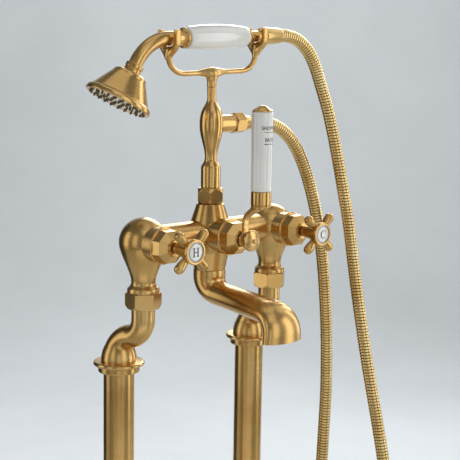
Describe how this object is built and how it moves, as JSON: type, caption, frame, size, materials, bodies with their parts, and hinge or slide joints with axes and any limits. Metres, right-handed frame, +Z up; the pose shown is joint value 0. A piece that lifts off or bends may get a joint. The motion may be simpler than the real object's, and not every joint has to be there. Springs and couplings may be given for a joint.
{
  "type": "bath shower mixer",
  "caption": "Freestanding bath mixer on two floor standpipes with cross-handle taps, a lever diverter, a fan spout and a cradled hand shower on a ribbed hose.",
  "frame": {"origin": "on the floor, midway between the two standpipes", "axes": "+Z up, -Y towards the bath, where the handles and the spout point, +X towards the cold side and the hose"},
  "size_m": [0.3432, 0.2061, 1.015],
  "materials": {
    "brushed_brass": "brushed warm brass",
    "machined_brass": "machined brass",
    "porcelain": "glossy white glaze",
    "ceramic": "lapped ceramic",
    "rubber": "black rubber",
    "fibre": "red fibre washer"
  },
  "bodies": {
    "base": {"hot_floor_flange": "brushed_brass", "cold_floor_flange": "brushed_brass", "hot_standpipe": "brushed_brass", "cold_standpipe": "brushed_brass", "hot_pipe_collar": "brushed_brass", "cold_pipe_collar": "brushed_brass", "hot_swan_neck": "brushed_brass", "cold_swan_neck": "brushed_brass", "hot_union_nut": "brushed_brass", "cold_union_nut": "brushed_brass", "hot_union_washer": "fibre", "cold_union_washer": "fibre", "mixer_body": "brushed_brass", "hot_seat_seal": "rubber", "cold_seat_seal": "rubber", "hot_fixed_disc": "ceramic", "cold_fixed_disc": "ceramic", "hot_cartridge": "machined_brass", "cold_cartridge": "machined_brass", "hot_bonnet": "brushed_brass", "cold_bonnet": "brushed_brass", "diverter_seal": "rubber", "diverter_bonnet": "brushed_brass", "spout": "brushed_brass", "spout_seal": "rubber", "riser_washer": "fibre", "riser_nut": "brushed_brass", "riser_column": "brushed_brass", "cradle": "brushed_brass", "cradle_screw": "machined_brass", "outlet_washer": "rubber", "outlet_hose_nut": "brushed_brass", "shower_hose": "brushed_brass"},
    "hot_tap": {"hot_spindle": "machined_brass", "hot_moving_disc": "ceramic", "hot_cross_handle": "brushed_brass", "hot_handle_screw": "machined_brass", "hot_index_disc": "porcelain"},
    "cold_tap": {"cold_spindle": "machined_brass", "cold_moving_disc": "ceramic", "cold_cross_handle": "brushed_brass", "cold_handle_screw": "machined_brass", "cold_index_disc": "porcelain"},
    "diverter": {"diverter_rotor": "machined_brass", "lever_strap": "brushed_brass", "diverter_cap": "brushed_brass", "lever_ferrule": "brushed_brass", "lever_rod": "machined_brass", "lever_porcelain": "porcelain", "lever_dome": "brushed_brass"},
    "handset": {"rose_shell": "brushed_brass", "rose_plate": "brushed_brass", "rose_collar": "brushed_brass", "handset_neck": "brushed_brass", "front_ferrule": "brushed_brass", "porcelain_grip": "porcelain", "handset_tail": "brushed_brass", "handset_washer": "rubber", "handset_hose_nut": "brushed_brass"}
  },
  "joints": [
    {"name": "hot_handle_turn", "type": "hinge", "parent": "base", "child": "hot_tap", "pos_m": [-0.09, -0.034, 0.7985], "axis": [0, -1, 0], "range_deg": [0, 90]},
    {"name": "cold_handle_turn", "type": "hinge", "parent": "base", "child": "cold_tap", "pos_m": [0.09, -0.034, 0.7985], "axis": [0, 1, 0], "range_deg": [0, 90]},
    {"name": "diverter_swing", "type": "hinge", "parent": "base", "child": "diverter", "pos_m": [0, -0.034, 0.7985], "axis": [0, -1, 0], "range_deg": [-45, 45]},
    {"name": "handset_lift", "type": "slide", "parent": "base", "child": "handset", "axis": [-0.0314, 0, 0.9995], "range_m": [0, 0.06]}
  ]
}
